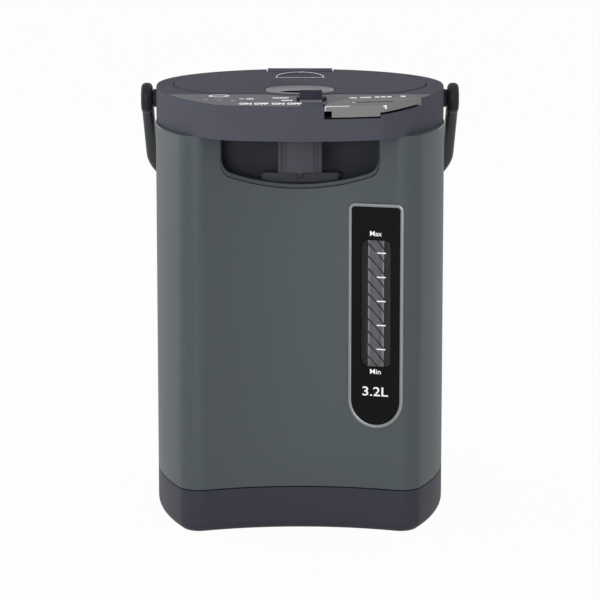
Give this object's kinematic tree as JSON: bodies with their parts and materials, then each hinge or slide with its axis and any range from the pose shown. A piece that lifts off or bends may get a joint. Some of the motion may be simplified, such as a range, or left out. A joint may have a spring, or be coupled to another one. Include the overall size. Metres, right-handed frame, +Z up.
{
  "type": "electric thermo pot",
  "caption": "Electric thermo pot with hinged lid, air press plate, spout recess, level gauge, dispense key and swinging bail handle.",
  "frame": {"origin": "centre of the bounding box at the resting plane of the feet", "axes": "+Z up, -Y to the front where the spout is, +X to the right seen from the front"},
  "size_m": [0.2386, 0.2808, 0.3261],
  "materials": {
    "shell_paint": "satin metallic paint",
    "head_plastic": "semi-gloss dark grey",
    "deck_plastic": "satin mid grey",
    "base_plastic": "fine grain",
    "black_plastic": "satin",
    "silver_plastic": "satin silver lacquer",
    "bezel_plastic": "satin grey",
    "fascia_plastic": "gloss black",
    "clear_plastic": "clear",
    "bail_plastic": "fine grain",
    "steel": "brushed",
    "brass": "bright",
    "rubber": "matte",
    "silicone": "translucent white",
    "aluminium": "cast",
    "board": "solder mask",
    "lamp": "diffuse",
    "wool": "felted fibre"
  },
  "bodies": {
    "pot": {"body_shell": "shell_paint", "base_tray": "base_plastic", "base_cover": "base_plastic", "rubber_feet": "rubber", "base_screws": "steel", "head_housing": "head_plastic", "hood_floor": "head_plastic", "control_deck": "deck_plastic", "control_board": "board", "indicator_lamps": "lamp", "key_well": "black_plastic", "key_switch": "base_plastic", "latch_pin": "steel", "latch_spring": "steel", "lid_hinge_pin": "steel", "recess_liner": "black_plastic", "recess_rim": "shell_paint", "nozzle_cover": "head_plastic", "spout_pipe": "steel", "cup_switch": "base_plastic", "gauge_bezel": "bezel_plastic", "gauge_fascia": "fascia_plastic", "gauge_window": "clear_plastic", "gauge_well": "silver_plastic", "sight_tube": "clear_plastic", "inner_tank": "steel", "tank_seal": "silicone", "insulation_wrap": "wool", "heater_plate": "aluminium", "thermostat": "base_plastic", "heat_shield": "steel", "support_posts": "steel", "pump_motor": "steel", "pump_chamber": "base_plastic", "inlet_hose": "silicone", "riser_hose": "silicone", "spout_hose": "silicone", "power_board": "board", "power_inlet": "black_plastic", "inlet_pins": "brass", "bail_pivots": "bail_plastic"},
    "lid": {"lid_cover": "head_plastic", "lid_base": "base_plastic", "inner_lid_plate": "steel", "lid_gasket": "silicone", "lid_screws": "steel", "steam_vent": "head_plastic", "pump_bellows": "silicone", "pump_spring": "steel"},
    "press": {"press_plate": "head_plastic"},
    "latch": {"lid_latch": "head_plastic"},
    "key": {"dispense_key": "silver_plastic", "key_window": "black_plastic"},
    "lever": {"cup_lever": "base_plastic"},
    "bail": {"bail_handle": "bail_plastic"},
    "magnet": {"motor_magnet": "black_plastic"},
    "impeller": {"pump_impeller": "silicone"}
  },
  "joints": [
    {"name": "lid_hinge", "type": "hinge", "parent": "pot", "child": "lid", "pos_m": [0, 0.10974, 0.3132], "axis": [-1, 0, 0], "range_deg": [0, 95]},
    {"name": "press_slide", "type": "slide", "parent": "lid", "child": "press", "axis": [0, 0, -1], "range_m": [0, 0.0065], "stiffness_N_per_m": 900, "springref_m": -0.004, "deforming": ["pump_bellows", "pump_spring"]},
    {"name": "latch_hinge", "type": "hinge", "parent": "pot", "child": "latch", "pos_m": [0.0084, -0.07876, 0.315], "axis": [-1, 0, 0], "range_deg": [0, 25], "stiffness_Nm_per_rad": 0.06, "springref_deg": -22.92},
    {"name": "key_slide", "type": "slide", "parent": "pot", "child": "key", "axis": [0, 0, -1], "range_m": [0, 0.001], "stiffness_N_per_m": 1500, "springref_m": -0.001},
    {"name": "lever_slide", "type": "slide", "parent": "pot", "child": "lever", "axis": [0, 1, 0], "range_m": [0, 0.003], "stiffness_N_per_m": 400, "springref_m": -0.002},
    {"name": "bail_swing", "type": "hinge", "parent": "pot", "child": "bail", "pos_m": [0, 0.00124, 0.3094], "axis": [1, 0, 0], "range_deg": [0, 124.5]},
    {"name": "magnet_spin", "type": "hinge", "parent": "pot", "child": "magnet", "pos_m": [0.03, -0.05076, 0.04], "axis": [0, 0, 1], "continuous": true},
    {"name": "impeller_spin", "type": "hinge", "parent": "pot", "child": "impeller", "pos_m": [0.03, -0.05076, 0.05], "axis": [0, 0, 1], "continuous": true}
  ],
  "couplings": [
    {"joint": "impeller_spin", "follows": "magnet_spin", "ratio": 1}
  ]
}
